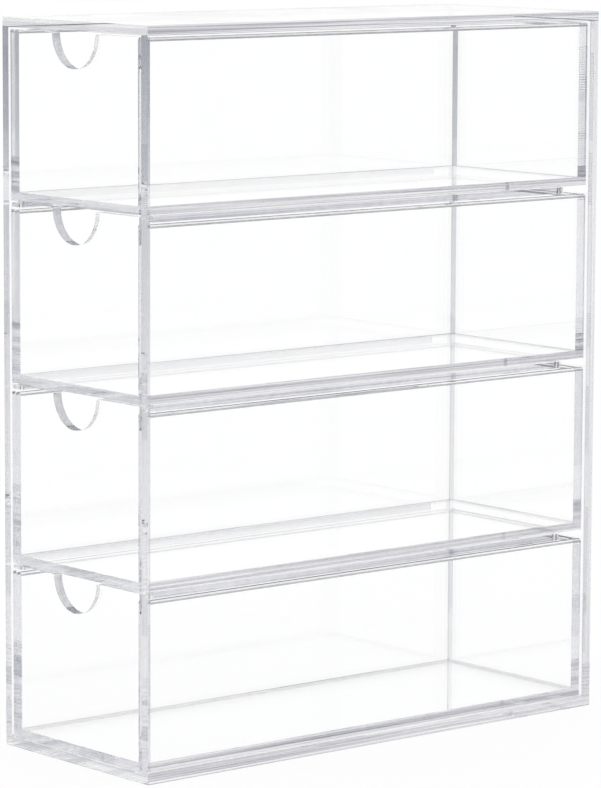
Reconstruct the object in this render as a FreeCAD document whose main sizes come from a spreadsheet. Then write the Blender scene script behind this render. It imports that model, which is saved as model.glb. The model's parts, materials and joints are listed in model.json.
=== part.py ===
"""Clear acrylic drawer organizer: a glued case with three pairs of runners and four drawers.

Frame: origin at the centre of the underside, +X to the right seen from the front, +Y to the
back (the drawers pull out towards -Y), +Z up. Tiers are counted from the top.
"""
import FreeCAD, Part
import Sketcher
import math
import os

os.makedirs("parts", exist_ok=True)

# Driving dimensions, in millimetres

DIMENSIONS = [
    ("case_width", 71.0),
    ("case_depth", 180.0),
    ("case_height", 223.0),
    ("case_sheet", 3.0),
    ("back_sheet", 2.0),
    ("runner_sheet", 2.0),
    ("runner_reach", 3.5),
    ("runner_start", 3.3),
    ("runner_end", 167.0),
    ("runner_pitch", 55.4),
    ("runner_corner", 1.0),
    ("drawer_width", 63.0),
    ("drawer_sheet", 2.4),
    ("front_sheet", 3.0),
    ("gap_under_drawer", 0.15),
    ("gap_over_wall", 0.7),
    ("gap_over_front", 0.6),
    ("gap_behind_drawer", 0.2),
    ("notch_radius", 10.6),
    ("notch_corner", 0.8),
    ("rim_round", 1.15),
]
DRAWER_COUNT = 4
TOLERANCE = 0.01

doc = FreeCAD.newDocument("drawer_organizer")
sheet = doc.addObject("Spreadsheet::Sheet", "Sizes")
for row, (alias, value) in enumerate(DIMENSIONS, start=1):
    sheet.set(f"A{row}", alias)
    sheet.set(f"B{row}", str(value))
    sheet.setAlias(f"B{row}", alias)
doc.recompute()


def size(alias):
    """Return the value of one driving dimension."""
    return float(sheet.get(alias))


# Expressions for the places that several pieces share

FRONT_FACE = "(-Sizes.case_depth / 2)"
BACK_PANEL_FACE = "(Sizes.case_depth / 2 - Sizes.back_sheet)"
CASE_LEFT = "(-Sizes.case_width / 2)"
CASE_INNER_RIGHT = "(Sizes.case_width / 2 - Sizes.case_sheet)"
LID_UNDERSIDE = "(Sizes.case_height - Sizes.case_sheet)"
DRAWER_LEFT = "(-Sizes.drawer_width / 2)"
DRAWER_REAR = f"({BACK_PANEL_FACE} - Sizes.gap_behind_drawer)"
DRAWER_INNER_FRONT = f"({FRONT_FACE} + Sizes.front_sheet)"


def runner_level(tier):
    """Return the middle height of the runners under the drawer of this tier."""
    return f"(Sizes.case_height / 2 + {2 - tier} * Sizes.runner_pitch)"


def drawer_underside(tier):
    """Return the height of a drawer's underside: on its runners, or on the case floor."""
    if tier == DRAWER_COUNT:
        support = "Sizes.case_sheet"
    else:
        support = f"{runner_level(tier)} + Sizes.runner_sheet / 2"
    return f"({support} + Sizes.gap_under_drawer)"


def wall_top(tier):
    """Return the height of a drawer's rim: just under the lid or the runners above."""
    if tier == 1:
        ceiling = LID_UNDERSIDE
    else:
        ceiling = f"{runner_level(tier - 1)} - Sizes.runner_sheet / 2"
    return f"({ceiling} - Sizes.gap_over_wall)"


def front_top(tier):
    """Return the height of a front's top edge: it covers the runners' ends."""
    above = LID_UNDERSIDE if tier == 1 else drawer_underside(tier - 1)
    return f"({above} - Sizes.gap_over_front)"


# Sketches and solids

def origin_plane(body, role):
    """Return one of a body's own origin planes by its role."""
    return next(plane for plane in body.Origin.OriginFeatures if plane.Role == role)


def sketch_on(body, name, role):
    """Add a sketch to a body, flat on one of its origin planes."""
    sketch = body.newObject("Sketcher::SketchObject", name)
    sketch.AttachmentSupport = (origin_plane(body, role), [""])
    sketch.MapMode = "FlatFace"
    return sketch


def draw_rectangle(sketch, wide, tall):
    """Draw a rectangle from the sketch's origin, its two sides bound to expressions."""
    corners = [FreeCAD.Vector(x, y, 0) for x, y in ((0, 0), (20, 0), (20, 10), (0, 10))]
    for start, end in zip(corners, corners[1:] + corners[:1]):
        sketch.addGeometry(Part.LineSegment(start, end), False)
    for line in range(4):
        sketch.addConstraint(Sketcher.Constraint("Coincident", line, 2, (line + 1) % 4, 1))
    for line in (0, 2):
        sketch.addConstraint(Sketcher.Constraint("Horizontal", line))
    for line in (1, 3):
        sketch.addConstraint(Sketcher.Constraint("Vertical", line))
    sketch.addConstraint(Sketcher.Constraint("Coincident", 0, 1, -1, 1))
    bind_distance(sketch, Sketcher.Constraint("DistanceX", 0, 1, 0, 2, 20.0), "wide", wide)
    bind_distance(sketch, Sketcher.Constraint("DistanceY", 1, 1, 1, 2, 10.0), "tall", tall)


def bind_distance(sketch, constraint, name, expression):
    """Add a dimension to a sketch under a name and bind it to an expression."""
    index = sketch.addConstraint(constraint)
    sketch.renameConstraint(index, name)
    sketch.setExpression(f"Constraints.{name}", expression)


def place(body, corner):
    """Bind a body's place to the three expressions of its lowest corner."""
    for axis, expression in zip("xyz", corner):
        body.setExpression(f"Placement.Base.{axis}", expression)


def flat_piece(label, wide, deep, rise, corner):
    """Make a piece of sheet: its plan as a sketch, padded upwards."""
    body = doc.addObject("PartDesign::Body", label)
    plan = sketch_on(body, f"{label}_plan", "XY_Plane")
    draw_rectangle(plan, wide, deep)
    pad = body.newObject("PartDesign::Pad", f"{label}_pad")
    pad.Profile = plan
    pad.setExpression("Length", rise)
    plan.Visibility = False
    place(body, corner)
    doc.recompute()
    return body


def round_edges(body, name, radius, wanted):
    """Round those edges of a body that the test wanted(edge) picks, in the body's own frame."""
    base = body.Tip
    edges = [f"Edge{i}" for i, edge in enumerate(base.Shape.Edges, start=1) if wanted(edge)]
    fillet = body.newObject("PartDesign::Fillet", name)
    fillet.Base = (base, edges)
    fillet.setExpression("Radius", radius)
    base.Visibility = False
    doc.recompute()
    return len(edges)


def along(edge, axis):
    """Say whether a straight edge runs along one axis, given as a letter."""
    if not isinstance(edge.Curve, Part.Line):
        return False
    return abs(getattr(edge.Curve.Direction, axis)) > 1 - TOLERANCE


def rim_piece(label, wide, deep, rise, corner, long_axis):
    """Make an upright sheet whose two long top edges are flame-polished round."""
    body = flat_piece(label, wide, deep, rise, corner)
    top = body.Shape.BoundBox.ZMax - body.Placement.Base.z

    def on_rim(edge):
        return along(edge, long_axis) and abs(edge.CenterOfMass.z - top) < TOLERANCE

    rounded = round_edges(body, f"{label}_rim", "Sizes.rim_round", on_rim)
    assert rounded == 2, f"{label}: {rounded} rim edges"
    return body


def runner(label, side, tier):
    """Make one runner: a strip on the inside of a side panel, its free corners rounded."""
    left = side == "left"
    inner_left = f"({CASE_LEFT} + Sizes.case_sheet)"
    corner = (
        inner_left if left else f"{CASE_INNER_RIGHT} - Sizes.runner_reach",
        f"{FRONT_FACE} + Sizes.runner_start",
        f"{runner_level(tier)} - Sizes.runner_sheet / 2",
    )
    length = "Sizes.runner_end - Sizes.runner_start"
    body = flat_piece(label, "Sizes.runner_reach", length, "Sizes.runner_sheet", corner)
    free_side = size("runner_reach") if left else 0.0

    def on_free_corner(edge):
        return along(edge, "z") and abs(edge.CenterOfMass.x - free_side) < TOLERANCE

    rounded = round_edges(body, f"{label}_corners", "Sizes.runner_corner", on_free_corner)
    assert rounded == 2, f"{label}: {rounded} corners"
    return body


def drawer_front(label, tier):
    """Make a drawer front: an upright sheet with a half-round finger notch in its top edge."""
    tall = f"({front_top(tier)} - {drawer_underside(tier)})"
    body = doc.addObject("PartDesign::Body", label)
    outline = sketch_on(body, f"{label}_outline", "XZ_Plane")
    draw_rectangle(outline, "Sizes.drawer_width", tall)
    pad = body.newObject("PartDesign::Pad", f"{label}_pad")
    pad.Profile = outline
    pad.Reversed = True
    pad.setExpression("Length", "Sizes.front_sheet")
    outline.Visibility = False
    place(body, (DRAWER_LEFT, FRONT_FACE, drawer_underside(tier)))
    doc.recompute()
    full_volume = body.Shape.Volume

    notch = sketch_on(body, f"{label}_notch", "XZ_Plane")
    middle = size("drawer_width") / 2
    top = body.Shape.BoundBox.ZMax - body.Placement.Base.z
    circle = Part.Circle(FreeCAD.Vector(middle, top, 0), FreeCAD.Vector(0, 0, 1), size("notch_radius"))
    notch.addGeometry(circle, False)
    radius_rule = Sketcher.Constraint("Radius", 0, size("notch_radius"))
    bind_distance(notch, radius_rule, "round", "Sizes.notch_radius")
    across_rule = Sketcher.Constraint("DistanceX", -1, 1, 0, 3, middle)
    bind_distance(notch, across_rule, "across", "Sizes.drawer_width / 2")
    bind_distance(notch, Sketcher.Constraint("DistanceY", -1, 1, 0, 3, top), "up", tall)
    pocket = body.newObject("PartDesign::Pocket", f"{label}_cut")
    pocket.Profile = notch
    pocket.Type = "ThroughAll"
    pocket.Reversed = False
    notch.Visibility = False
    doc.recompute()
    removed = full_volume - body.Shape.Volume
    expected = math.pi * size("notch_radius") ** 2 / 2 * size("front_sheet")
    assert abs(removed - expected) < 0.01 * expected, f"{label}: notch removes {removed:.1f}"

    def on_notch_corner(edge):
        at_top = abs(edge.CenterOfMass.z - top) < TOLERANCE
        beside = abs(abs(edge.CenterOfMass.x - middle) - size("notch_radius")) < TOLERANCE
        return along(edge, "y") and at_top and beside

    rounded = round_edges(body, f"{label}_corners", "Sizes.notch_corner", on_notch_corner)
    assert rounded == 2, f"{label}: {rounded} notch corners"
    return body


# The two sub-assemblies

def build_case():
    """Make the case: lid, floor, two sides, a thinner back and three pairs of runners."""
    plan = ("Sizes.case_width", "Sizes.case_depth", "Sizes.case_sheet")
    side_plan = ("Sizes.case_sheet", "Sizes.case_depth - Sizes.back_sheet")
    inside_height = "Sizes.case_height - 2 * Sizes.case_sheet"
    above_floor = "Sizes.case_sheet"
    pieces = [
        flat_piece("case_top_panel", *plan, (CASE_LEFT, FRONT_FACE, LID_UNDERSIDE)),
        flat_piece("case_bottom_panel", *plan, (CASE_LEFT, FRONT_FACE, "0")),
        flat_piece("case_left_panel", *side_plan, inside_height, (CASE_LEFT, FRONT_FACE, above_floor)),
        flat_piece(
            "case_right_panel", *side_plan, inside_height, (CASE_INNER_RIGHT, FRONT_FACE, above_floor)
        ),
        flat_piece(
            "case_back_panel",
            "Sizes.case_width",
            "Sizes.back_sheet",
            inside_height,
            (CASE_LEFT, BACK_PANEL_FACE, above_floor),
        ),
    ]
    for side in ("left", "right"):
        for tier in range(1, DRAWER_COUNT):
            pieces.append(runner(f"runner_{side}_{tier}", side, tier))
    return pieces


def build_drawer(tier):
    """Make one drawer: front with notch, floor, two walls on the floor, back between the walls."""
    name = f"drawer_{tier}"
    low = drawer_underside(tier)
    length = f"({DRAWER_REAR} - {DRAWER_INNER_FRONT})"
    on_floor = f"({low} + Sizes.drawer_sheet)"
    wall_height = f"({wall_top(tier)} - {on_floor})"
    wall_plan = ("Sizes.drawer_sheet", length, wall_height)
    right_wall_side = "(Sizes.drawer_width / 2 - Sizes.drawer_sheet)"
    back_face = f"{DRAWER_REAR} - Sizes.drawer_sheet"
    back_width = "Sizes.drawer_width - 2 * Sizes.drawer_sheet"
    back_left = f"{DRAWER_LEFT} + Sizes.drawer_sheet"
    floor_corner = (DRAWER_LEFT, DRAWER_INNER_FRONT, low)
    left_corner = (DRAWER_LEFT, DRAWER_INNER_FRONT, on_floor)
    right_corner = (right_wall_side, DRAWER_INNER_FRONT, on_floor)
    back_corner = (back_left, back_face, on_floor)
    back_plan = (back_width, "Sizes.drawer_sheet", wall_height)
    return [
        drawer_front(f"{name}_front", tier),
        flat_piece(f"{name}_floor", "Sizes.drawer_width", length, "Sizes.drawer_sheet", floor_corner),
        rim_piece(f"{name}_left_wall", *wall_plan, left_corner, "y"),
        rim_piece(f"{name}_right_wall", *wall_plan, right_corner, "y"),
        rim_piece(f"{name}_back", *back_plan, back_corner, "x"),
    ]


def check_and_export(pieces):
    """Stop on any failed object or shape, then write one file for each piece."""
    doc.recompute()
    failed = [o.Name for o in doc.Objects if "Invalid" in o.State or "Error" in o.State]
    assert not failed, f"failed objects: {failed}"
    whole = FreeCAD.BoundBox()
    for piece in pieces:
        shape = piece.Shape
        assert not shape.isNull() and shape.isValid(), f"{piece.Label}: bad shape"
        assert len(shape.Solids) == 1, f"{piece.Label}: {len(shape.Solids)} solids"
        whole.add(shape.BoundBox)
    for piece in pieces:
        piece.Shape.exportStep(f"parts/{piece.Label}.step")
    volume = sum(piece.Shape.Volume for piece in pieces)
    print(f"{len(pieces)} pieces, {volume / 1000:.1f} cm3 of sheet")
    print(f"{whole.XLength:.2f} wide, {whole.YLength:.2f} deep, {whole.ZLength:.2f} high")
    print(f"from {whole.XMin:.2f}, {whole.YMin:.2f}, {whole.ZMin:.2f}")


all_pieces = build_case()
for tier in range(1, DRAWER_COUNT + 1):
    all_pieces += build_drawer(tier)
check_and_export(all_pieces)
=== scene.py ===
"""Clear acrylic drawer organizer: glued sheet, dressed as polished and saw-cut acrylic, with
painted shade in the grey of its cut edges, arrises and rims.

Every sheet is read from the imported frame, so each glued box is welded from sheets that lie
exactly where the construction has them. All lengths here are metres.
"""

import json
import logging
import math
from collections.abc import Callable
from dataclasses import dataclass, field
from enum import IntEnum
from functools import cached_property

import bmesh
import bpy
from mathutils import Matrix, Vector

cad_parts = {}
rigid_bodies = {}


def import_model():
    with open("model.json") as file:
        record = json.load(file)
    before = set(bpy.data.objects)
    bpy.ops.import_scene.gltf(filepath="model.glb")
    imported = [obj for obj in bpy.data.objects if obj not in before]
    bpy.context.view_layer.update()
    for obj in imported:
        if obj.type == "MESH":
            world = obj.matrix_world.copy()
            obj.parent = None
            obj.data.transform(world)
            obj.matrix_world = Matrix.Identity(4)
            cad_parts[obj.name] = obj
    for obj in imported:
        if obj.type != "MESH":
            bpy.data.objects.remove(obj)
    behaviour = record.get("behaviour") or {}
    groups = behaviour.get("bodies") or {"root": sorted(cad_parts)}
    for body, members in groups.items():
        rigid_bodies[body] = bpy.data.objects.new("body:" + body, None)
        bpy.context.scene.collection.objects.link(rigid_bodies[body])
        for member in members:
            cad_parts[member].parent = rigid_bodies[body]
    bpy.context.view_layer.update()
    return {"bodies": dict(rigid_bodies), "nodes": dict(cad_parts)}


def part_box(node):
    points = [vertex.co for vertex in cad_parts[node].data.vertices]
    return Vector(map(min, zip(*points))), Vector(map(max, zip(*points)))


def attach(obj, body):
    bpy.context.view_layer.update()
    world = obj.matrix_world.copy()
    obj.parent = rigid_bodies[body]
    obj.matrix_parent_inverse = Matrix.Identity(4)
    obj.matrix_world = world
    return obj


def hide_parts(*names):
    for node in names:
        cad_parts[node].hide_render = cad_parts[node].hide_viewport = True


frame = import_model()

log = logging.getLogger("organizer")

MM = 0.001
AXES = range(3)
FACING = 0.5  # the least share of a unit normal along an axis that counts as facing that way
ROUND = 0.5  # the bevel profile of a plain quarter circle

Triple = tuple[float, float, float]
Colour = Triple

WHITE: Colour = (1.0, 1.0, 1.0)
RUN_UPRIGHT: Triple = (1.0, 1.0, 0.003)  # draws marks out along Z
RUN_LEVEL: Triple = (0.003, 0.003, 1.0)  # draws marks out along X and Y
# Sharpens the saw-mark streaks between clear and the painted shade of the edge finishes.
SAWN_MARK_AND_SHADE_CONTRAST = 6.0


class Face(IntEnum):
    """Material slots that every welded box shares."""

    POLISHED = 0
    UPRIGHT = 1
    ARRIS = 2
    RUNNER = 3
    RIM = 4
    SIDE = 5
    FRONT = 6
    NOTCH = 7
    UPRIGHT_FRONT = 8


class Joint(IntEnum):
    """Kinds of glued joint, in the order of the film's material slots."""

    USUAL = 0
    RUNNER = 1
    REAR = 2


class Value:
    """A shader socket that carries a number, with the operators the finishes use."""

    def __init__(self, tree: bpy.types.NodeTree, socket: bpy.types.NodeSocket) -> None:
        """Wrap an output socket of a node in this tree."""
        self.tree = tree
        self.socket = socket

    def _math(self, operation: str, first: "Value | float", second: "Value | float") -> "Value":
        """Add a Math node.

        Args:
            operation: the node's operation.
            first: a Value or a plain number.
            second: a Value or a plain number.

        Returns:
            The node's result.
        """
        node = self.tree.nodes.new("ShaderNodeMath")
        node.operation = operation
        for socket, item in zip(node.inputs, (first, second)):
            if isinstance(item, Value):
                self.tree.links.new(item.socket, socket)
            else:
                socket.default_value = item
        return Value(self.tree, node.outputs[0])

    def __add__(self, other: "Value | float") -> "Value":
        """Return self plus other."""
        return self._math("ADD", self, other)

    def __radd__(self, other: "Value | float") -> "Value":
        """Return other plus self."""
        return self._math("ADD", other, self)

    def __mul__(self, other: "Value | float") -> "Value":
        """Return self times other."""
        return self._math("MULTIPLY", self, other)

    def __sub__(self, other: "Value | float") -> "Value":
        """Return self minus other."""
        return self._math("SUBTRACT", self, other)

    def __rsub__(self, other: "Value | float") -> "Value":
        """Return other minus self."""
        return self._math("SUBTRACT", other, self)

    def at_most(self, limit: float) -> "Value":
        """Return the smaller of self and a limit."""
        return self._math("MINIMUM", self, limit)

    def at_least(self, limit: float) -> "Value":
        """Return the larger of self and a limit."""
        return self._math("MAXIMUM", self, limit)


class NodeGraph:
    """A node tree with a single method that adds any node."""

    def __init__(self, tree: bpy.types.NodeTree) -> None:
        """Keep the tree."""
        self.tree = tree

    @classmethod
    def of(cls, owner: bpy.types.ID) -> "NodeGraph":
        """Empty the node tree of a material or a world and wrap it.

        Args:
            owner: the material or the world.

        Returns:
            The wrapped tree.
        """
        owner.use_nodes = True
        owner.node_tree.nodes.clear()
        return cls(owner.node_tree)

    def node(
        self, kind: str, settings: dict | None = None, inputs: dict | None = None
    ) -> bpy.types.Node:
        """Add a node.

        Args:
            kind: the node's type.
            settings: properties set first, a ramp's stops under the key "stops".
            inputs: socket name or index to a number, colour, Value or output socket.

        Returns:
            The new node.
        """
        node = self.tree.nodes.new(kind)
        for key, setting in (settings or {}).items():
            if key == "stops":
                self._set_stops(node.color_ramp, setting)
            else:
                setattr(node, key, setting)
        for key, item in (inputs or {}).items():
            socket = node.inputs[key]
            if isinstance(item, Value):
                self.tree.links.new(item.socket, socket)
            elif isinstance(item, bpy.types.NodeSocket):
                self.tree.links.new(item, socket)
            else:
                socket.default_value = item
        return node

    @staticmethod
    def _set_stops(ramp: bpy.types.ColorRamp, stops: list) -> None:
        """Set a ramp's stops.

        Args:
            ramp: the ramp.
            stops: (position, colour) pairs.
        """
        while len(ramp.elements) > len(stops):
            ramp.elements.remove(ramp.elements[-1])
        while len(ramp.elements) < len(stops):
            ramp.elements.new(1.0)
        for element, (position, colour) in zip(ramp.elements, stops):
            element.position = position
            element.color = colour

    def value(self, node: bpy.types.Node, output: str | int = 0) -> Value:
        """Wrap one output of a node."""
        return Value(self.tree, node.outputs[output])


def opaque(colour: Colour) -> tuple[float, float, float, float]:
    """Return a colour with full alpha."""
    return (*colour, 1.0)


@dataclass(frozen=True)
class Acrylic:
    """A see-through acrylic finish: how clear, how rough, and how its marks vary; on cut edges,
    arrises and rims its dark colour is painted shade.
    """

    name: str
    pale: Colour
    dark: Colour
    roughness: float
    roughness_spread: float
    mark_scale: float
    clarity: float = 1.0
    mark_stretch: Triple = (1.0, 1.0, 1.0)
    mark_contrast: float = 3.0
    mark_detail: float = 3.0
    mark_breakup: float = 0.55
    wave: float = 0.0
    wave_scale: float = 30.0
    wave_detail: float = 1.0
    refraction: float = 1.49
    body_tint: Colour = (0.82, 0.83, 0.85)
    body_density: float = 1.2

    def build(self) -> bpy.types.Material:
        """Make the material.

        Returns:
            A material whose colour and roughness vary with the saw and polish marks; on the edge
            finishes the colour runs down to painted shade.
        """
        material = bpy.data.materials.new(self.name)
        shader = NodeGraph.of(material)
        place = shader.node("ShaderNodeTexCoord").outputs["Object"]
        stretched = shader.node(
            "ShaderNodeMapping", {}, {"Vector": place, "Scale": self.mark_stretch}
        )
        marks = shader.node(
            "ShaderNodeTexNoise",
            {"noise_dimensions": "3D"},
            {
                "Vector": stretched.outputs[0],
                "Scale": self.mark_scale,
                "Detail": self.mark_detail,
                "Roughness": self.mark_breakup,
            },
        )
        middle = 0.5
        sharpened = (shader.value(marks) - middle) * self.mark_contrast + middle
        strength = sharpened.at_most(1.0).at_least(0.0)
        colour = shader.node(
            "ShaderNodeMix",
            {"data_type": "RGBA"},
            {"Factor": strength, 6: opaque(self.pale), 7: opaque(self.dark)},
        )
        roughness = self.roughness + strength * self.roughness_spread
        surface = shader.node(
            "ShaderNodeBsdfPrincipled",
            {},
            {
                "Base Color": colour.outputs[2],
                "Roughness": roughness,
                "IOR": self.refraction,
                "Transmission Weight": self.clarity,
            },
        )
        if self.wave:
            ripple = shader.node(
                "ShaderNodeTexNoise",
                {},
                {"Vector": place, "Scale": self.wave_scale, "Detail": self.wave_detail},
            )
            bump = shader.node(
                "ShaderNodeBump",
                {},
                {"Height": ripple.outputs[0], "Strength": 1.0, "Distance": self.wave},
            )
            shader.tree.links.new(bump.outputs[0], surface.inputs["Normal"])
        body = shader.node(
            "ShaderNodeVolumeAbsorption",
            {},
            {"Color": opaque(self.body_tint), "Density": self.body_density},
        )
        shader.node(
            "ShaderNodeOutputMaterial",
            {},
            {"Surface": surface.outputs[0], "Volume": body.outputs[0]},
        )
        return material


@dataclass(frozen=True)
class GlueFilm:
    """The solvent film in a joint: a faint grey veil with clearer patches.

    The slant share adds haze where the film is seen along its face, and takes haze away
    there when it is negative.
    """

    name: str = "glue_film"
    clear: Colour = (0.985, 0.986, 0.99)
    hazy: Colour = (0.90, 0.902, 0.915)
    patch_scale: float = 420.0
    least_haze: float = 0.0
    patch_share: float = 0.6
    slant_share: float = 0.2
    slant_blend: float = 0.5

    def build(self) -> bpy.types.Material:
        """Make the material.

        Returns:
            A see-through material that varies between its clear and its hazy colour.
        """
        material = bpy.data.materials.new(self.name)
        shader = NodeGraph.of(material)
        place = shader.node("ShaderNodeTexCoord").outputs["Object"]
        patches = shader.node(
            "ShaderNodeTexNoise", {}, {"Vector": place, "Scale": self.patch_scale}
        )
        slant = shader.node("ShaderNodeLayerWeight", {}, {"Blend": self.slant_blend})
        patch = shader.value(patches) * self.patch_share
        haze = patch + shader.value(slant, "Facing") * self.slant_share + self.least_haze
        clear = shader.node("ShaderNodeBsdfTransparent", {}, {"Color": opaque(self.clear)})
        hazy = shader.node("ShaderNodeBsdfTransparent", {}, {"Color": opaque(self.hazy)})
        veil = shader.node(
            "ShaderNodeMixShader",
            {},
            {0: haze.at_most(1.0).at_least(0.0), 1: clear.outputs[0], 2: hazy.outputs[0]},
        )
        shader.node("ShaderNodeOutputMaterial", {}, {"Surface": veil.outputs[0]})
        return material


@dataclass(frozen=True)
class Finishes:
    """All the finishes of the organizer, built once and shared."""

    polished: Acrylic = Acrylic(
        "polished_sheet",
        pale=WHITE,
        dark=(0.998, 0.999, 1.0),
        roughness=0.0,
        roughness_spread=0.0,
        mark_scale=60.0,
        wave=0.01 * MM,
    )
    # Painted shade: the greys of the sawn-edge finishes stand in for the dark seen in cut edges,
    # one grey per way the edge faces.
    upright: Acrylic = Acrylic(
        "upright_cut_edge",
        pale=WHITE,
        dark=(0.62, 0.62, 0.65),
        roughness=0.01,
        roughness_spread=0.03,
        mark_scale=2200.0,
        clarity=0.97,
        mark_stretch=RUN_UPRIGHT,
        mark_contrast=SAWN_MARK_AND_SHADE_CONTRAST,
    )
    # Painted shade: the dark grey on every broken edge stands in for the dark lines along the
    # edges; its noise marks are the scraping.
    arris: Acrylic = Acrylic(
        "scraped_arris",
        pale=(0.48, 0.48, 0.50),
        dark=(0.30, 0.30, 0.32),
        roughness=0.2,
        roughness_spread=0.1,
        mark_scale=700.0,
        clarity=0.5,
    )
    # Painted shade: a deep grey on the runners' sawn edges.
    runner: Acrylic = Acrylic(
        "runner_edge",
        pale=WHITE,
        dark=(0.46, 0.46, 0.50),
        roughness=0.01,
        roughness_spread=0.03,
        mark_scale=2000.0,
        mark_stretch=RUN_LEVEL,
        mark_contrast=SAWN_MARK_AND_SHADE_CONTRAST,
    )
    # Painted shade: the rim's grey stands in for the dark seen where the rounding turns.
    rim: Acrylic = Acrylic(
        "rounded_rim",
        pale=(0.58, 0.58, 0.61),
        dark=(0.42, 0.42, 0.45),
        roughness=0.1,
        roughness_spread=0.1,
        mark_scale=500.0,
        clarity=0.6,
    )
    # Painted shade: the deepest grey, on level edges that face sideways.
    side: Acrylic = Acrylic(
        "level_side_edge",
        pale=WHITE,
        dark=(0.40, 0.395, 0.45),
        roughness=0.01,
        roughness_spread=0.04,
        mark_scale=2000.0,
        clarity=0.96,
        mark_stretch=RUN_LEVEL,
        mark_contrast=SAWN_MARK_AND_SHADE_CONTRAST,
    )
    # Painted shade: a light grey on level edges that face front or back.
    front: Acrylic = Acrylic(
        "level_front_edge",
        pale=WHITE,
        dark=(0.72, 0.72, 0.76),
        roughness=0.01,
        roughness_spread=0.03,
        mark_scale=2000.0,
        clarity=0.98,
        mark_stretch=RUN_LEVEL,
        mark_contrast=SAWN_MARK_AND_SHADE_CONTRAST,
    )
    # Painted shade: the grey of the frosted notch surface stands in for the dark band seen in the
    # notch.
    notch: Acrylic = Acrylic(
        "notch_edge",
        pale=(0.93, 0.93, 0.96),
        dark=(0.74, 0.74, 0.78),
        roughness=0.06,
        roughness_spread=0.08,
        mark_scale=900.0,
        clarity=0.7,
    )
    # Painted shade: the lightest grey, on upright edges that face front or back.
    upright_front: Acrylic = Acrylic(
        "upright_front_edge",
        pale=WHITE,
        dark=(0.88, 0.88, 0.895),
        roughness=0.0,
        roughness_spread=0.03,
        mark_scale=2200.0,
        clarity=0.99,
        mark_stretch=RUN_UPRIGHT,
        mark_contrast=SAWN_MARK_AND_SHADE_CONTRAST,
    )
    glue: GlueFilm = GlueFilm()
    runner_glue: GlueFilm = GlueFilm(
        "runner_glue_film", WHITE, (0.80, 0.80, 0.83), least_haze=0.6, slant_share=-2.4
    )
    rear_glue: GlueFilm = GlueFilm("rear_glue_film", (0.975, 0.975, 0.978), (0.89, 0.89, 0.905))
    rungs: GlueFilm = GlueFilm("glue_rungs", (0.86, 0.865, 0.88), (0.74, 0.75, 0.77))

    @cached_property
    def film_material(self) -> bpy.types.Material:
        """Return the glue film's material, built once."""
        return self.glue.build()

    @cached_property
    def runner_film_material(self) -> bpy.types.Material:
        """Return the material of the film under the runners, built once."""
        return self.runner_glue.build()

    @cached_property
    def rear_film_material(self) -> bpy.types.Material:
        """Return the material of the film in the rear joints, built once."""
        return self.rear_glue.build()

    @cached_property
    def rung_material(self) -> bpy.types.Material:
        """Return the rungs' material, built once."""
        return self.rungs.build()

    def slots(self) -> list[bpy.types.Material]:
        """Return the materials in the order of Face."""
        return [getattr(self, face.name.lower()).build() for face in Face]


@dataclass(frozen=True)
class Rounding:
    """Edges of a sheet that are rounded over: those along one axis, at one end of another.

    The rounding carries painted shade near both of its ends and stays clear between, which the
    rise of a face's normal across the edge tells apart.
    """

    along: int
    across: int
    side: int
    radius: float
    segments: int = 6
    dark_below: float = 0.40
    dark_above: float = 0.80
    flat: float = 0.001
    straight: float = 0.99

    def slot(self, normal: Vector) -> Face | None:
        """Tell which slot a face of the rounding takes.

        Args:
            normal: the face's normal.

        Returns:
            The slot, or None if the face is no part of the rounding.
        """
        rise = abs(normal[self.across])
        if rise < self.flat or rise > 1.0 - self.flat:
            return None
        # Faces near either end of the rounding take the grey rim finish, painted shade; those
        # between stay polished.
        return Face.POLISHED if self.dark_below < rise < self.dark_above else Face.RIM

    def edges(self, shape: bmesh.types.BMesh, middle: Vector) -> list[bmesh.types.BMEdge]:
        """Pick the edges.

        Args:
            shape: the sheet's box.
            middle: the box's centre.

        Returns:
            The edges to round.
        """
        found = []
        for edge in shape.edges:
            first, second = (vertex.co for vertex in edge.verts)
            step = second - first
            runs_along = abs(step[self.along]) > self.straight * step.length
            offset = (first[self.across] + second[self.across]) / 2 - middle[self.across]
            if runs_along and offset * self.side > 0:
                found.append(edge)
        return found


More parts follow.
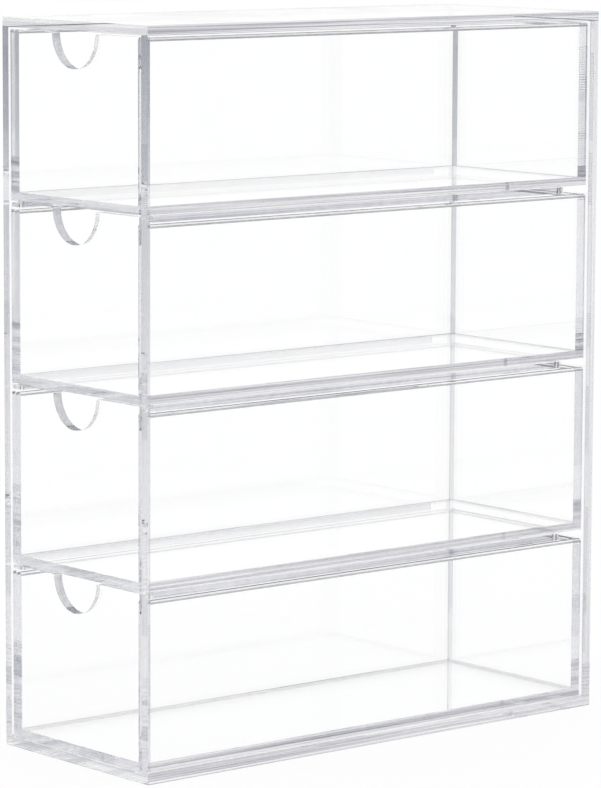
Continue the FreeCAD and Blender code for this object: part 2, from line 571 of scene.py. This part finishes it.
@dataclass
class Sheet:
    """One flat sheet of acrylic as a box, read from the frame."""

    name: str
    low: Vector
    high: Vector
    edge_face: Face | None = None
    rounding: Rounding | None = None

    @classmethod
    def from_node(
        cls, node: str, edge_face: Face | None = None, rounding: Rounding | None = None
    ) -> "Sheet":
        """Read a sheet's corners from the frame.

        Args:
            node: the construction's node name.
            edge_face: the slot of all its sawn edges, or None for the usual ones.
            rounding: which of its edges are rounded over.

        Returns:
            The sheet.
        """
        low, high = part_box(node)
        return cls(node, Vector(low), Vector(high), edge_face, rounding)

    @property
    def thin_axis(self) -> int:
        """Return the axis along which the sheet is thinnest."""
        size = self.high - self.low
        return min(AXES, key=lambda axis: size[axis])

    def mesh(self, grow: dict[tuple[int, int], float]) -> bpy.types.Mesh:
        """Build the sheet as a closed box with its faces in the right slots.

        Args:
            grow: (axis, side) to how far that end runs into its neighbour.

        Returns:
            The mesh.
        """
        low, high = self.low.copy(), self.high.copy()
        for (axis, side), length in grow.items():
            if side > 0:
                high[axis] += length
            else:
                low[axis] -= length
        shape = bmesh.new()
        bmesh.ops.create_cube(shape, size=1.0)
        middle, size = (low + high) / 2, high - low
        for vertex in shape.verts:
            vertex.co = Vector(middle[axis] + vertex.co[axis] * size[axis] for axis in AXES)
        if self.rounding:
            bmesh.ops.bevel(
                shape,
                geom=self.rounding.edges(shape, middle),
                offset=self.rounding.radius,
                segments=self.rounding.segments,
                profile=ROUND,
                affect="EDGES",
            )
        bmesh.ops.recalc_face_normals(shape, faces=shape.faces)
        for face in shape.faces:
            face.material_index = self._slot(face.normal)
        mesh = bpy.data.meshes.new(self.name)
        shape.to_mesh(mesh)
        shape.free()
        return mesh

    def _slot(self, normal: Vector) -> Face:
        """Tell which slot a face takes.

        Args:
            normal: the face's normal.

        Returns:
            The slot of a rounding, a polished face, or the kind of sawn edge.
        """
        rounded = self.rounding.slot(normal) if self.rounding else None
        if rounded is not None:
            return rounded
        if abs(normal[self.thin_axis]) > FACING:
            return Face.POLISHED
        if self.edge_face is not None:
            return self.edge_face
        # Sawn edges take separate finishes by which way they face, each with its own grey of
        # painted shade.
        if self.thin_axis != 2:
            return Face.UPRIGHT_FRONT if abs(normal[1]) > FACING else Face.UPRIGHT
        return Face.SIDE if abs(normal[0]) > FACING else Face.FRONT


def new_object(
    name: str, mesh: bpy.types.Mesh, slots: list[bpy.types.Material]
) -> bpy.types.Object:
    """Link a new mesh into the scene.

    Args:
        name: the object's name.
        mesh: a mesh without materials.
        slots: its materials, in the order of its slots.

    Returns:
        The object.
    """
    for material in slots:
        mesh.materials.append(material)
    piece = bpy.data.objects.new(name, mesh)
    bpy.context.scene.collection.objects.link(piece)
    return piece


def bake_modifiers(piece: bpy.types.Object) -> None:
    """Turn a piece's modifiers into its plain mesh.

    Args:
        piece: the object with the modifiers.
    """
    depsgraph = bpy.context.evaluated_depsgraph_get()
    mesh = bpy.data.meshes.new_from_object(piece.evaluated_get(depsgraph))
    piece.modifiers.clear()
    piece.data = mesh


@dataclass(frozen=True)
class Ladder:
    """Rungs across a joint, laid along its line in broken stretches."""

    pitch: float = 0.8 * MM
    rung: float = 0.3 * MM
    thickness: float = 0.04 * MM
    patch_scale: float = 22.0
    patch_detail: float = 1.0
    least: float = 0.56

    def apply(self, piece: bpy.types.Object, material: bpy.types.Material) -> None:
        """Turn the piece's lines into rungs, as a plain mesh.

        Args:
            piece: lines with the attributes across and normal on their points.
            material: the rungs' material.
        """
        modifier = piece.modifiers.new("ladder", "NODES")
        modifier.node_group = self._tree()
        settings = {
            "Pitch": self.pitch,
            "Rung": self.rung,
            "Thickness": self.thickness,
            "Patch Scale": self.patch_scale,
            "Least": self.least,
            "Material": material,
        }
        for item in modifier.node_group.interface.items_tree:
            if item.name in settings:
                modifier[item.identifier] = settings[item.name]
        bake_modifiers(piece)

    def _tree(self) -> bpy.types.NodeTree:
        """Build the node tree, or find it if it was built before.

        Returns:
            The tree, which all the ladders share.
        """
        title = "rungs_along_joints"
        if title in bpy.data.node_groups:
            return bpy.data.node_groups[title]
        tree = bpy.data.node_groups.new(title, "GeometryNodeTree")
        sockets = tree.interface
        sockets.new_socket("Geometry", in_out="INPUT", socket_type="NodeSocketGeometry")
        for label in ("Pitch", "Rung", "Thickness", "Patch Scale", "Least"):
            sockets.new_socket(label, in_out="INPUT", socket_type="NodeSocketFloat")
        sockets.new_socket("Material", in_out="INPUT", socket_type="NodeSocketMaterial")
        sockets.new_socket("Geometry", in_out="OUTPUT", socket_type="NodeSocketGeometry")
        graph = NodeGraph(tree)
        given = graph.node("NodeGroupInput").outputs
        lines = graph.node("GeometryNodeMeshToCurve", {}, {"Mesh": given["Geometry"]})
        steps = graph.node(
            "GeometryNodeResampleCurve",
            {"mode": "LENGTH"},
            {"Curve": lines.outputs[0], "Length": given["Pitch"]},
        )
        patches = graph.node(
            "ShaderNodeTexNoise",
            {},
            {"Scale": given["Patch Scale"], "Detail": self.patch_detail},
        )
        kept = graph.node(
            "FunctionNodeCompare",
            {"data_type": "FLOAT", "operation": "GREATER_THAN"},
            {0: patches.outputs[0], 1: given["Least"]},
        )
        normal, across = (
            graph.node(
                "GeometryNodeInputNamedAttribute", {"data_type": "FLOAT_VECTOR"}, {"Name": name}
            )
            for name in ("normal", "across")
        )
        upright = graph.node(
            "FunctionNodeAlignRotationToVector", {"axis": "Z"}, {"Vector": normal.outputs[0]}
        )
        turned = graph.node(
            "FunctionNodeAlignRotationToVector",
            {"axis": "X", "pivot_axis": "Z"},
            {"Rotation": upright.outputs[0], "Vector": across.outputs[0]},
        )
        width = graph.node("ShaderNodeVectorMath", {"operation": "LENGTH"}, {0: across.outputs[0]})
        size = graph.node(
            "ShaderNodeCombineXYZ",
            {},
            {"X": width.outputs["Value"], "Y": given["Rung"], "Z": given["Thickness"]},
        )
        block = graph.node("GeometryNodeMeshCube", {}, {"Size": (1.0, 1.0, 1.0)})
        placed = graph.node(
            "GeometryNodeInstanceOnPoints",
            {},
            {
                "Points": steps.outputs[0],
                "Selection": kept.outputs[0],
                "Instance": block.outputs["Mesh"],
                "Rotation": turned.outputs[0],
                "Scale": size.outputs[0],
            },
        )
        real = graph.node("GeometryNodeRealizeInstances", {}, {0: placed.outputs[0]})
        dressed = graph.node(
            "GeometryNodeSetMaterial",
            {},
            {"Geometry": real.outputs[0], "Material": given["Material"]},
        )
        graph.node("NodeGroupOutput", {}, {"Geometry": dressed.outputs[0]})
        return tree


@dataclass
class Contact:
    """Where two sheets of one glued box meet: a flat patch square to one axis.

    The butting sheet is the one that stands with an edge against the other's face, and the
    side is that edge's end of the axis.
    """

    axis: int
    low: Vector
    high: Vector
    butting: Sheet
    side: int

    @property
    def joint(self) -> Joint:
        """Return the kind of joint: a runner's, one in the rear half, or the usual one."""
        if self.butting.edge_face is Face.RUNNER:
            return Joint.RUNNER
        return Joint.REAR if self.low[1] > 0 else Joint.USUAL


class GluedBox:
    """A box of sheets welded into one closed shell, with the glue films in its joints."""

    weld = 0.002 * MM
    touching = 0.001 * MM
    film_thickness = 0.03 * MM
    film_inset = 0.05 * MM
    ladder_inset = 0.25 * MM
    arris_segments = 2
    arris_angle = math.radians(40)

    def __init__(
        self,
        name: str,
        body: str,
        sheets: list[Sheet],
        slots: list[bpy.types.Material],
        cut: Callable[[bpy.types.Object], None] | None = None,
    ) -> None:
        """Keep the parts of the box.

        Args:
            name: the piece's name.
            body: the body it rides on.
            sheets: its sheets.
            slots: materials in the order of Face.
            cut: cuts what the sheets' boxes don't have.
        """
        self.name = name
        self.body = body
        self.sheets = sheets
        self.slots = slots
        self.cut = cut
        self.contacts = self._find_contacts()

    def pieces(self, arris: float, finishes: Finishes) -> list[bpy.types.Object]:
        """Build the shell, its glue films and their rungs, and attach them to the body.

        Args:
            arris: the width of the broken edges.
            finishes: the shared finishes.

        Returns:
            The attached pieces.
        """
        shell = self.welded(arris)
        films = self.films(
            [finishes.film_material, finishes.runner_film_material, finishes.rear_film_material]
        )
        made = [shell, films, self.rungs(finishes.rung_material)]
        for piece in made:
            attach(piece, self.body)
        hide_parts(*(sheet.name for sheet in self.sheets))
        return made

    def _find_contacts(self) -> list[Contact]:
        """Find every pair of sheets that meet face to face.

        Returns:
            Their contacts.
        """
        found = []
        for first in self.sheets:
            for second in self.sheets:
                for axis in AXES:
                    if abs(first.high[axis] - second.low[axis]) > self.touching:
                        continue
                    low = Vector(max(first.low[i], second.low[i]) for i in AXES)
                    high = Vector(min(first.high[i], second.high[i]) for i in AXES)
                    others = [i for i in AXES if i != axis]
                    if min(high[i] - low[i] for i in others) < self.touching:
                        continue
                    second_butts = second.thin_axis != axis
                    butting, side = (second, -1) if second_butts else (first, 1)
                    found.append(Contact(axis, low, high, butting, side))
        return found

    def welded(self, arris: float) -> bpy.types.Object:
        """Weld the sheets and break the edges.

        Args:
            arris: the width of the broken edges.

        Returns:
            The closed shell.
        """
        parts = []
        for sheet in self.sheets:
            grow = {(c.axis, c.side): self.weld for c in self.contacts if c.butting is sheet}
            parts.append(new_object(sheet.name + "_blank", sheet.mesh(grow), self.slots))
        shell = parts[0]
        for part in parts[1:]:
            union = shell.modifiers.new(part.name, "BOOLEAN")
            union.operation = "UNION"
            union.solver = "EXACT"
            union.object = part
        bake_modifiers(shell)
        for part in parts[1:]:
            bpy.data.objects.remove(part)
        shell.name = self.name
        if self.cut:
            self.cut(shell)
        bevel = shell.modifiers.new("arris", "BEVEL")
        bevel.width = arris
        bevel.segments = self.arris_segments
        bevel.limit_method = "ANGLE"
        bevel.angle_limit = self.arris_angle
        # The bevel faces take the arris finish and its painted shade.
        bevel.material = Face.ARRIS
        bake_modifiers(shell)
        return shell

    def films(self, glues: list[bpy.types.Material]) -> bpy.types.Object:
        """Make the glue films, one thin closed slab in each joint.

        Args:
            glues: materials in the order of Joint.

        Returns:
            One object with all the films.
        """
        shape = bmesh.new()
        for contact in self.contacts:
            low, high = contact.low.copy(), contact.high.copy()
            for axis in AXES:
                if axis == contact.axis:
                    level = (low[axis] + high[axis]) / 2
                    low[axis] = level - self.film_thickness / 2
                    high[axis] = level + self.film_thickness / 2
                else:
                    low[axis] += self.film_inset
                    high[axis] -= self.film_inset
            middle, size = (low + high) / 2, high - low
            made = bmesh.ops.create_cube(shape, size=1.0)
            for vertex in made["verts"]:
                vertex.co = Vector(middle[i] + vertex.co[i] * size[i] for i in AXES)
            for face in {face for vertex in made["verts"] for face in vertex.link_faces}:
                face.material_index = contact.joint
        bmesh.ops.recalc_face_normals(shape, faces=shape.faces)
        mesh = bpy.data.meshes.new(self.name + "_glue")
        shape.to_mesh(mesh)
        shape.free()
        return new_object(self.name + "_glue", mesh, glues)

    def rungs(self, glue: bpy.types.Material) -> bpy.types.Object:
        """Make the saw marks that show in the joints, as rungs across each film.

        Args:
            glue: the rungs' material.

        Returns:
            One object with all the rungs.
        """
        points, edges, across, normal = [], [], [], []
        for contact in self.contacts:
            if contact.joint is Joint.RUNNER:
                continue
            size = contact.high - contact.low
            long_axis = max(AXES, key=lambda axis: size[axis])
            wide_axis = 3 - long_axis - contact.axis
            middle = (contact.low + contact.high) / 2
            for end, inward in ((contact.low, 1), (contact.high, -1)):
                point = middle.copy()
                point[long_axis] = end[long_axis] + inward * self.ladder_inset
                points.append(point)
                side = Vector((0.0, 0.0, 0.0))
                side[wide_axis] = size[wide_axis] - 2 * self.film_inset
                across.append(side)
                normal.append(Vector(1.0 if axis == contact.axis else 0.0 for axis in AXES))
            edges.append((len(points) - 2, len(points) - 1))
        mesh = bpy.data.meshes.new(self.name + "_rungs")
        mesh.from_pydata(points, edges, [])
        for name, vectors in (("across", across), ("normal", normal)):
            attribute = mesh.attributes.new(name, "FLOAT_VECTOR", "POINT")
            for item, vector in zip(attribute.data, vectors):
                item.vector = vector
        piece = new_object(self.name + "_rungs", mesh, [glue])
        Ladder().apply(piece, glue)
        while piece.data.materials[0] is None:
            piece.data.materials.pop(index=0)
        return piece


@dataclass
class Drawer:
    """One drawer: a welded tray whose front has a half-round finger notch."""

    tier: int
    notch_radius: float = 10.6 * MM
    notch_segments: int = 160
    notch_corner: float = 0.8 * MM
    corner_segments: int = 6
    rim_round: float = 1.15 * MM
    arris: float = 0.24 * MM

    @property
    def name(self) -> str:
        """Return the drawer's body name."""
        return f"drawer_{self.tier}"

    def sheets(self) -> list[Sheet]:
        """Read the drawer's sheets.

        Returns:
            Its five sheets, the walls and the back with rounded rims.
        """
        wall_rim = Rounding(along=1, across=2, side=1, radius=self.rim_round)
        back_rim = Rounding(along=0, across=2, side=1, radius=self.rim_round)
        rims = {
            "front": None,
            "floor": None,
            "left_wall": wall_rim,
            "right_wall": wall_rim,
            "back": back_rim,
        }
        return [Sheet.from_node(f"{self.name}_{part}", rounding=rim) for part, rim in rims.items()]

    def build(self, finishes: Finishes, slots: list[bpy.types.Material]) -> list[bpy.types.Object]:
        """Build and attach the drawer.

        Args:
            finishes: the shared finishes.
            slots: materials in the order of Face.

        Returns:
            Its pieces.
        """
        sheets = self.sheets()
        box = GluedBox(f"{self.name}_tray", self.name, sheets, slots, self.cut_notch)
        return box.pieces(self.arris, finishes)

    def cut_notch(self, shell: bpy.types.Object) -> None:
        """Cut the finger notch into the front's top edge.

        Args:
            shell: the tray.
        """
        low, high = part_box(f"{self.name}_front")
        middle = Vector(((low[0] + high[0]) / 2, (low[1] + high[1]) / 2, high[2]))
        shape = bmesh.new()
        bmesh.ops.create_cone(
            shape,
            cap_ends=True,
            segments=self.notch_segments,
            radius1=self.notch_radius,
            radius2=self.notch_radius,
            depth=(high[1] - low[1]) * 2,
            matrix=Matrix.Translation(middle) @ Matrix.Rotation(math.pi / 2, 4, "X"),
        )
        for face in shape.faces:
            face.material_index = Face.NOTCH
        mesh = bpy.data.meshes.new("notch_cutter")
        shape.to_mesh(mesh)
        shape.free()
        cutter = new_object("notch_cutter", mesh, list(shell.data.materials))
        cut = shell.modifiers.new("notch", "BOOLEAN")
        cut.operation = "DIFFERENCE"
        cut.solver = "EXACT"
        cut.object = cutter
        bake_modifiers(shell)
        bpy.data.objects.remove(cutter)
        self._round_corners(shell, middle, high[1] - low[1])

    def _round_corners(self, shell: bpy.types.Object, middle: Vector, thickness: float) -> None:
        """Round over the two corners where the notch meets the front's top edge.

        Args:
            shell: the tray.
            middle: the notch's centre.
            thickness: the front's thickness, along which both corners run.
        """
        shape = bmesh.new()
        shape.from_mesh(shell.data)
        near = self.notch_corner / 10
        corners = []
        for edge in shape.edges:
            first, second = (vertex.co for vertex in edge.verts)
            centre = (first + second) / 2
            at_top = abs(centre.z - middle.z) < near
            at_end = abs(abs(centre.x - middle.x) - self.notch_radius) < near
            if at_top and at_end and abs(second.y - first.y) > thickness / 2:
                corners.append(edge)
        bmesh.ops.bevel(
            shape,
            geom=corners,
            offset=self.notch_corner,
            segments=self.corner_segments,
            profile=ROUND,
            affect="EDGES",
        )
        shape.to_mesh(shell.data)
        shape.free()


@dataclass
class Case:
    """The glued case with its three pairs of runners."""

    arris: float = 0.24 * MM
    runner_corner: float = 1.0 * MM
    panels: tuple[str, ...] = ("top", "bottom", "left", "right", "back")

    def build(self, finishes: Finishes, slots: list[bpy.types.Material]) -> list[bpy.types.Object]:
        """Build and attach the case.

        Args:
            finishes: the shared finishes.
            slots: materials in the order of Face.

        Returns:
            Its pieces.
        """
        sheets = [Sheet.from_node(f"case_{panel}_panel") for panel in self.panels]
        for node in sorted(name for name in frame["nodes"] if name.startswith("runner")):
            inward = 1 if "left" in node else -1
            corner = Rounding(along=2, across=0, side=inward, radius=self.runner_corner)
            sheets.append(Sheet.from_node(node, Face.RUNNER, corner))
        box = GluedBox("case_shell", "case", sheets, slots)
        return box.pieces(self.arris, finishes)


@dataclass
class Studio:
    """Floor, light and the photograph's camera."""

    focal_pixels: float = 4062.8
    frame_height: float = 788.0
    sensor: float = 36.0
    azimuth: float = 49.9975
    pitch: float = 7.71438
    roll: float = 0.252
    position: Vector = field(default_factory=lambda: Vector((959.856, -807.790, 274.876)) * MM)
    nearest: float = 10 * MM
    floor_size: float = 24.0
    floor_drop: float = 0.05 * MM
    floor_glow: float = 0.95
    overhead: Colour = (0.50, 0.52, 0.57)
    white_below: float = 0.32
    overhead_above: float = 0.62
    surround_strength: float = 1.02
    bounces: int = 192
    glossy_bounces: int = 160
    transmission_bounces: int = 96
    transparent_bounces: int = 64

    def camera(self) -> None:
        """Set the camera at the photograph's angle."""
        data = bpy.data.cameras.new("camera")
        camera = bpy.data.objects.new("camera", data)
        bpy.context.scene.collection.objects.link(camera)
        data.sensor_fit = "AUTO"
        data.sensor_width = self.sensor
        data.lens = self.focal_pixels / self.frame_height * self.sensor
        data.clip_start = self.nearest
        azimuth, pitch, roll = map(math.radians, (self.azimuth, self.pitch, self.roll))
        level = math.cos(pitch)
        forward = Vector(
            (-math.sin(azimuth) * level, math.cos(azimuth) * level, -math.sin(pitch))
        )
        right = Vector((math.cos(azimuth), math.sin(azimuth), 0.0))
        up = right.cross(forward)
        rolled_right = math.cos(roll) * right + math.sin(roll) * up
        rolled_up = math.cos(roll) * up - math.sin(roll) * right
        matrix = Matrix((rolled_right, rolled_up, -forward)).transposed().to_4x4()
        matrix.translation = self.position
        camera.matrix_world = matrix
        bpy.context.scene.camera = camera

    def floor(self) -> None:
        """Lay the plain white floor."""
        shape = bmesh.new()
        bmesh.ops.create_grid(shape, x_segments=1, y_segments=1, size=self.floor_size / 2)
        mesh = bpy.data.meshes.new("floor")
        shape.to_mesh(mesh)
        shape.free()
        material = bpy.data.materials.new("floor_paper")
        shader = NodeGraph.of(material)
        paper = shader.node("ShaderNodeBsdfDiffuse", {}, {"Color": opaque(WHITE)})
        glow = shader.node("ShaderNodeEmission", {}, {"Color": opaque(WHITE), "Strength": 1.0})
        share = self._seen(shader, ("Camera", "Glossy", "Transmission")) * self.floor_glow
        surface = shader.node(
            "ShaderNodeMixShader", {}, {0: share, 1: paper.outputs[0], 2: glow.outputs[0]}
        )
        shader.node("ShaderNodeOutputMaterial", {}, {"Surface": surface.outputs[0]})
        floor = new_object("floor", mesh, [material])
        floor.location.z = -self.floor_drop

    @staticmethod
    def _seen(shader: NodeGraph, kinds: tuple[str, ...]) -> Value:
        """Tell what is seen, straight or by gloss or through glass, from other light.

        Args:
            shader: the tree that asks.
            kinds: the kinds of ray that count as seeing.

        Returns:
            1 for such a ray that met nothing matt on its way, and 0 for any other.
        """
        path = shader.node("ShaderNodeLightPath")
        rays = sum(shader.value(path, f"Is {kind} Ray") for kind in kinds)
        clear_way = 1.0 - shader.value(path, "Diffuse Depth").at_most(1.0)
        return rays.at_most(1.0) * clear_way

    def light(self) -> None:
        """Light the scene with a white surround, dimmer overhead as glass sees it."""
        world = bpy.data.worlds.new("surround")
        bpy.context.scene.world = world
        shader = NodeGraph.of(world)
        direction = shader.node("ShaderNodeTexCoord").outputs["Generated"]
        height = shader.node("ShaderNodeSeparateXYZ", {}, {0: direction}).outputs[2]
        stops = [(self.white_below, opaque(WHITE)), (self.overhead_above, opaque(self.overhead))]
        ramp = shader.node("ShaderNodeValToRGB", {"stops": stops}, {0: height})
        through = self._seen(shader, ("Glossy", "Transmission"))
        colour = shader.node(
            "ShaderNodeMix",
            {"data_type": "RGBA"},
            {"Factor": through, 6: opaque(WHITE), 7: ramp.outputs[0]},
        )
        glow = shader.node(
            "ShaderNodeBackground",
            {},
            {"Color": colour.outputs[2], "Strength": self.surround_strength},
        )
        shader.node("ShaderNodeOutputWorld", {}, {"Surface": glow.outputs[0]})

    def render_rules(self) -> None:
        """Set the view transform and enough bounces for light inside the sheets."""
        scene = bpy.context.scene
        scene.view_settings.view_transform = "Standard"
        scene.cycles.max_bounces = self.bounces
        scene.cycles.glossy_bounces = self.glossy_bounces
        scene.cycles.transmission_bounces = self.transmission_bounces
        scene.cycles.transparent_max_bounces = self.transparent_bounces

    def build(self) -> None:
        """Set up everything that isn't the object."""
        self.camera()
        self.floor()
        self.light()
        self.render_rules()


def main() -> None:
    """Build the organizer and its studio in order."""
    logging.basicConfig(level=logging.INFO, format="%(message)s")
    Studio().build()
    finishes = Finishes()
    slots = finishes.slots()
    tiers = sum(1 for body in frame["bodies"] if body.startswith("drawer"))
    assemblies = [Case()] + [Drawer(tier) for tier in range(1, tiers + 1)]
    for assembly in assemblies:
        for piece in assembly.build(finishes, slots):
            log.info("%s: %d faces", piece.name, len(piece.data.polygons))


if __name__ == "__main__":
    main()
